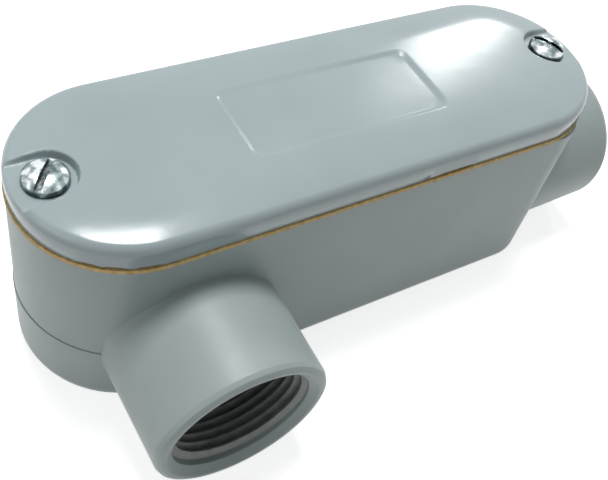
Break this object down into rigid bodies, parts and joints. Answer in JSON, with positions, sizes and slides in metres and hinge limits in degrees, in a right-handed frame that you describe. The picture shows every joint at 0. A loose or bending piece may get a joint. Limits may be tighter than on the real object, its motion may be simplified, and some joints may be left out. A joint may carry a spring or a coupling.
{
  "type": "conduit body",
  "caption": "LR-type metal conduit body: hollow round-ended housing with a threaded end hub and a threaded side hub, closed by a gasketed screw-down cover.",
  "frame": {"origin": "on the flat back, under the middle of the cover and in the plane of the end hub's axis", "axes": "+X out of the end hub's mouth, -Y out of the side hub's mouth, +Z from the back up to the cover"},
  "size_m": [0.1356, 0.0602, 0.049],
  "materials": {
    "enamel": "light grey semi-gloss enamel on die-cast aluminium",
    "gasket": "matt tan fibre sheet",
    "zinc": "bright zinc plate"
  },
  "bodies": {
    "body": {"housing": "enamel", "gasket": "gasket"},
    "cover": {"cover": "enamel"},
    "screw_side_hub_end": {"cover_screw_side_hub_end": "zinc"},
    "screw_end_hub_end": {"cover_screw_end_hub_end": "zinc"}
  },
  "joints": [
    {"name": "cover_lift", "type": "slide", "parent": "body", "child": "cover", "axis": [0, 0, 1], "range_m": [0, 0.03]},
    {"name": "screw_turn_side_hub_end", "type": "hinge", "parent": "cover", "child": "screw_side_hub_end", "pos_m": [-0.0546, 0, 0.0466], "axis": [0, 0, 1], "continuous": true},
    {"name": "screw_turn_end_hub_end", "type": "hinge", "parent": "cover", "child": "screw_end_hub_end", "pos_m": [0.0546, 0, 0.0466], "axis": [0, 0, 1], "continuous": true}
  ]
}
